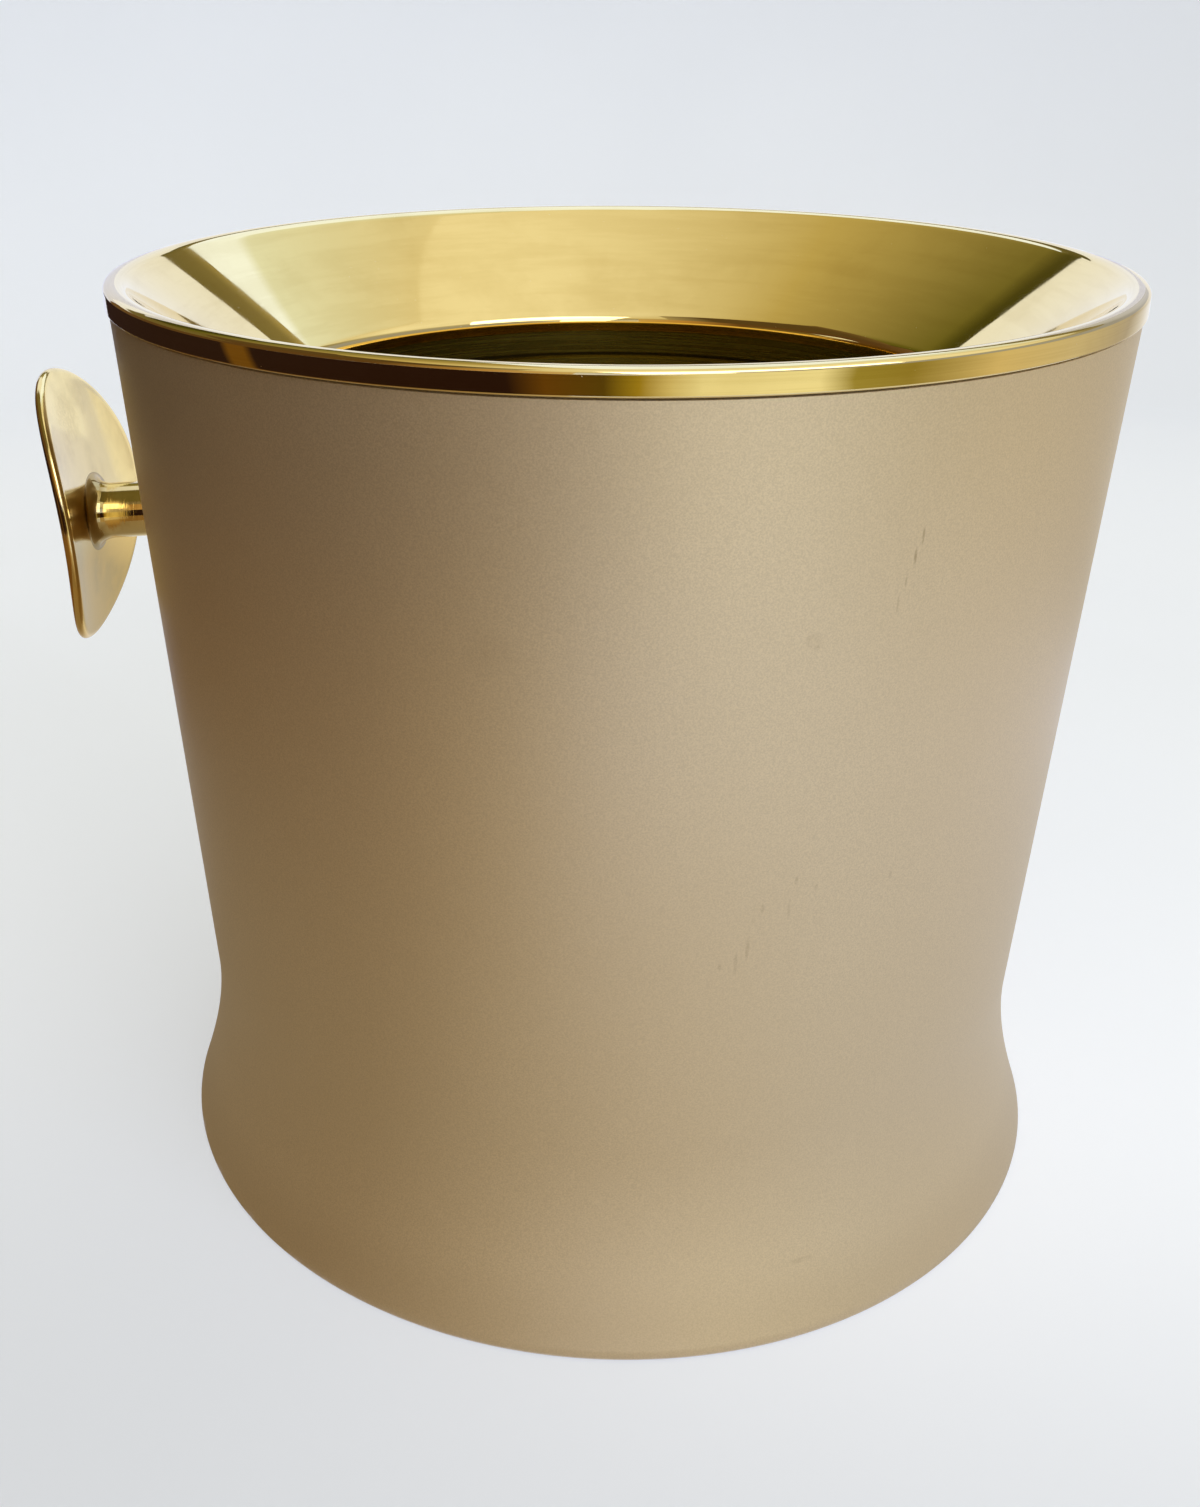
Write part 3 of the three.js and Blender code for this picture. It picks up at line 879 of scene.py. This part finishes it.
def sweep():
    """Pale floor that bends up into a round wall, so that every view has the same ground."""
    bend_centre = (SWEEP_RADIUS - SWEEP_BEND, SWEEP_BEND)
    profile = [
        (0, 0),
        (SWEEP_RADIUS - SWEEP_BEND, 0),
        *arc(bend_centre, SWEEP_BEND, -QUARTER, 0, SWEEP_BEND_STEPS),
        (SWEEP_RADIUS, SWEEP_TOP),
        (SWEEP_RADIUS + SWEEP_SHEET, SWEEP_TOP),
        (SWEEP_RADIUS + SWEEP_SHEET, -SWEEP_SHEET),
        (0, -SWEEP_SHEET),
    ]
    made = turned("sweep", profile, SMALL_STEPS)
    wear(made, paper_finish())


ROOM_BRIGHT_SIDE = Vector((0.6, -0.35, 0.72))
ROOM_DARK = (0.14, 0.13, 0.02, 1)
ROOM_MIDDLE = (0.57, 0.48, 0.21, 1)
ROOM_BRIGHT = (1.0, 0.98, 0.84, 1)
ROOM_SEEN = (0.72, 0.76, 0.81, 1)  # behind the paper's edge, for the camera alone
ROOM_FROM = -0.15
ROOM_TO = 0.85
ROOM_MIDDLE_AT = 0.5
ROOM_LOW_FROM = 0.47
ROOM_LOW_TO = 0.53
ROOM_LOW_SHARE = 0.5


def room():
    """Room light that grades from a dark side to a bright one, and is weaker low down."""
    world = bpy.data.worlds.new("room")
    world.use_nodes = True
    nodes = Nodes(world.node_tree)
    light = world.node_tree.nodes["Background"]
    place = nodes.node("TexCoord").outputs["Generated"]
    share = nodes.between(nodes.dot(place, ROOM_BRIGHT_SIDE), ROOM_FROM, ROOM_TO, curve="LINEAR")
    shade = nodes.node("ValToRGB", {"Fac": share})
    stops = shade.color_ramp.elements
    stops[0].color = ROOM_DARK
    stops[1].color = ROOM_BRIGHT
    stops.new(ROOM_MIDDLE_AT).color = ROOM_MIDDLE
    above = nodes.between(
        nodes.split(place)[2], ROOM_LOW_FROM, ROOM_LOW_TO, to_low=ROOM_LOW_SHARE, curve="LINEAR"
    )
    nodes.connect(light, {"Color": shade.outputs["Color"], "Strength": above})
    pale = nodes.node("Background", {"Color": ROOM_SEEN})
    camera_ray = nodes.node("LightPath").outputs["Is Camera Ray"]
    choose = nodes.node("MixShader", {0: camera_ray, 1: light.outputs[0], 2: pale.outputs[0]})
    nodes.connect(world.node_tree.nodes["World Output"], {"Surface": choose.outputs[0]})
    bpy.context.scene.world = world


LAMP_POWER = 4  # watts for each square metre and unit of brightness


def softbox(name, azimuth, elevation, distance, width, height, brightness, colour):
    """Area light that adds the written brightness to what is seen behind it."""
    data = bpy.data.lights.new(name, "AREA")
    data.shape = "RECTANGLE"
    data.size = width
    data.size_y = height
    data.energy = brightness * LAMP_POWER * width * height
    data.color = colour
    made = bpy.data.objects.new(name, data)
    made.visible_camera = False
    outwards = direction(azimuth, elevation)
    made.location = Vector((0, 0, HEIGHT)) + outwards * distance
    made.rotation_euler = (-outwards).to_track_quat("-Z", "Y").to_euler()
    bpy.context.scene.collection.objects.link(made)


CARD_STEPS = 6  # columns of a card between two stops


def card_columns(stops):
    """Azimuths and colours at even steps between the stops."""
    columns = []
    for (first, colour), (second, next_colour) in zip(stops, stops[1:]):
        for share in levels(0, 1, CARD_STEPS)[:-1]:
            azimuth = first + (second - first) * share
            columns.append((azimuth, Vector(colour).lerp(Vector(next_colour), share)))
    last, last_colour = stops[-1]
    columns.append((last, Vector(last_colour)))
    return columns


def reflection_card(name, start, end, stops):
    """Curved card round the bucket that glows with painted light and shows only in reflections.

    Start and end are its edges, each a radius and a height. Stops are an azimuth and a colour.
    """
    made = bmesh.new()
    tint = made.loops.layers.float_color.new("tint")
    sides = []
    for azimuth, colour in card_columns(stops):
        verts = [made.verts.new(direction(azimuth) * r + Vector((0, 0, z))) for r, z in (start, end)]
        sides.append((verts, colour))
    for (first, colour), (second, next_colour) in zip(sides, sides[1:]):
        face = made.faces.new((first[0], second[0], second[1], first[1]))
        for loop, painted in zip(face.loops, (colour, next_colour, next_colour, colour)):
            loop[tint] = (*painted, 1)
    piece = new_object(name, made)
    piece.visible_camera = False
    piece.visible_diffuse = False
    piece.visible_shadow = False
    finish = Finish(name)
    painted = finish.node("Attribute", attribute_name="tint").outputs["Color"]
    # The card glows in its painted colours
    finish.surface(base_color=(0, 0, 0, 1), roughness=1.0, emission_color=painted, emission_strength=1.0)
    wear(piece, finish.material)


# Edges that cards share, each a radius and a height
FOOT_LINE = (0.1077, 0.0004)
NEAR_LOW = (0.28, 0.002)
NEAR_MIDDLE = (0.28, 0.1)
NEAR_TOP = (0.28, 0.19)
LEFT_LOW = (1.08, 0.11)
LEFT_TOP = (1.08, 0.78)
LEFT_CEILING = (1.0, 1.7)
RIGHT_NEAR = (0.38, 0.002)
RIGHT_MIDDLE = (0.55, 0.002)
RIGHT_FAR = (0.8, 0.002)
BACK_LOW = (1.05, 0.09)

# Colours that cards share
BLACKISH = (0.016, 0.003, 0.001)
OCHRE = (0.15, 0.068, 0.003)
OLIVE = (0.16, 0.13, 0.04)
UMBER = (0.1, 0.06, 0.015)
CREAM = (0.93, 0.92, 0.7)
PALE = (0.93, 1.0, 1.2)
SLATE = (0.38, 0.4, 0.5)
WARM_FLOOR = (0.58, 0.53, 0.46)
SHADED_PAPER = (0.52, 0.53, 0.54)
LIT_PAPER = (0.8, 0.82, 0.86)
WINDOW = (1.05, 1.25, 1.75)

# Colours of the cards on the right, by azimuth
RIGHT_STOPS = [
    (12, CREAM),
    (38, CREAM),
    (45, (0.34, 0.29, 0.06)),
    (57, (0.31, 0.25, 0.05)),
    (68, (0.5, 0.42, 0.2)),
    (78, (0.71, 0.6, 0.36)),
    (102, (0.64, 0.58, 0.45)),
    (126, (0.46, 0.42, 0.38)),
    (142, (0.85, 0.85, 0.88)),
    (154, (0.95, 0.98, 1.05)),
]

sweep()
room()
softbox(
    "front_window",
    azimuth=30,
    elevation=29,
    distance=1.0,
    width=1.0,
    height=0.7,
    brightness=1.7,
    colour=(0.96, 1.0, 1.15),
)
reflection_card(
    "dark_side",
    NEAR_MIDDLE,
    NEAR_TOP,
    [(-128, BLACKISH), (-72, BLACKISH), (-70, OCHRE), (-66, OCHRE), (-64, BLACKISH), (-40, BLACKISH)],
)
reflection_card(
    "warm_side",
    NEAR_LOW,
    NEAR_MIDDLE,
    [
        (-125, (0.3, 0.22, 0.14)),
        (-105, (0.15, 0.075, 0.02)),
        (-45, (0.2, 0.1, 0.025)),
        (-25, (0.4, 0.27, 0.11)),
        (-8, (0.6, 0.48, 0.28)),
    ],
)
reflection_card(
    "dark_front",
    NEAR_MIDDLE,
    NEAR_TOP,
    [
        (-40, BLACKISH),
        (-17, BLACKISH),
        (-11, (0.124, 0.052, 0.001)),
        (-2, (0.096, 0.058, 0.002)),
        (3.5, (0.36, 0.26, 0.02)),
        (8, (0.68, 0.6, 0.32)),
        (13, CREAM),
    ],
)
reflection_card(
    "left_wall",
    LEFT_LOW,
    LEFT_TOP,
    [
        (-135, (0.16, 0.09, 0.03)),
        (-110, (0.1, 0.05, 0.012)),
        (-48, (0.12, 0.06, 0.014)),
        (-25, (0.5, 0.3, 0.1)),
        (-8, (0.62, 0.47, 0.24)),
    ],
)
reflection_card(
    "left_ceiling",
    LEFT_TOP,
    LEFT_CEILING,
    [(-122, (0.16, 0.1, 0.03)), (-105, UMBER), (-40, UMBER), (-20, (0.4, 0.34, 0.2))],
)
reflection_card(
    "dark_floor",
    FOOT_LINE,
    NEAR_LOW,
    [
        (-160, (0.9, 0.92, 0.95)),
        (-135, (0.7, 0.7, 0.7)),
        (-116, (0.42, 0.38, 0.33)),
        (-100, (0.27, 0.22, 0.15)),
        (-40, (0.28, 0.21, 0.12)),
        (-10, (0.44, 0.37, 0.27)),
        (15, WARM_FLOOR),
    ],
)
reflection_card(
    "foot_floor",
    FOOT_LINE,
    NEAR_LOW,
    [(15, WARM_FLOOR), (40, (0.62, 0.61, 0.62)), (150, (0.6, 0.6, 0.66)), (160, (0.8, 0.8, 0.85))],
)
reflection_card(
    "shaded_floor",
    (0.11, 0.003),
    (0.5, 0.003),
    [(165, LIT_PAPER), (180, SHADED_PAPER), (205, SHADED_PAPER), (222, LIT_PAPER)],
)
reflection_card("dim_side", RIGHT_FAR, (0.8, 0.30), RIGHT_STOPS)
reflection_card("dim_side_floor", RIGHT_MIDDLE, RIGHT_FAR, RIGHT_STOPS)
reflection_card(
    "right_floor",
    RIGHT_NEAR,
    RIGHT_MIDDLE,
    [
        (45, (0.85, 0.83, 0.8)),
        (75, (0.62, 0.58, 0.53)),
        (110, (0.45, 0.4, 0.34)),
        (130, (0.45, 0.41, 0.37)),
        (142, (0.85, 0.85, 0.87)),
        (156, (0.95, 0.97, 1.0)),
    ],
)
reflection_card(
    "stem_shade",
    (0.125, 0.24),
    (0.19, 0.24),
    [(-112, PALE), (-97, PALE), (-94, OLIVE), (-60, OLIVE)],
)
reflection_card(
    "dim_wall",
    (0.9, 0.30),
    (0.9, 0.6),
    [(22, (0.7, 0.74, 0.9)), (35, SLATE), (130, SLATE), (152, (0.6, 0.63, 0.75))],
)
reflection_card("pale_back_right", BACK_LOW, (1.05, 0.66), [(158, PALE), (181, PALE)])
reflection_card("pale_back_left", BACK_LOW, (1.05, 0.71), [(181, PALE), (202, PALE)])
reflection_card(
    "back_window",
    (1.2, 0.9),
    (0.4, 1.7),
    [
        (128, (0.84, 0.79, 0.6)),
        (142, (0.82, 0.86, 0.8)),
        (155, (0.86, 0.98, 1.05)),
        (157, WINDOW),
        (189, WINDOW),
    ],
)


# Camera


def camera():
    pan, pitch, roll = CAMERA_PAN, CAMERA_PITCH, CAMERA_ROLL
    forward = Vector((math.sin(pan) * math.cos(pitch), math.cos(pan) * math.cos(pitch), -math.sin(pitch)))
    level = Vector((math.cos(pan), -math.sin(pan), 0))
    down = forward.cross(level)
    right = math.cos(roll) * level + math.sin(roll) * down
    down = math.cos(roll) * down - math.sin(roll) * level
    data = bpy.data.cameras.new("camera")
    data.sensor_width = SENSOR
    data.lens = FOCAL_PIXELS * SENSOR / IMAGE_HEIGHT
    data.shift_x = (IMAGE_WIDTH / 2 - PRINCIPAL_X) / IMAGE_HEIGHT
    data.shift_y = (PRINCIPAL_Y - IMAGE_HEIGHT / 2) / IMAGE_HEIGHT
    data.clip_start = CLIP_START
    made = bpy.data.objects.new("camera", data)
    turn = Matrix((right, -down, -forward)).transposed().to_4x4()
    made.matrix_world = Matrix.Translation(CAMERA_PLACE) @ turn
    bpy.context.scene.collection.objects.link(made)
    bpy.context.scene.camera = made


camera()
bpy.context.scene.view_settings.view_transform = "Standard"
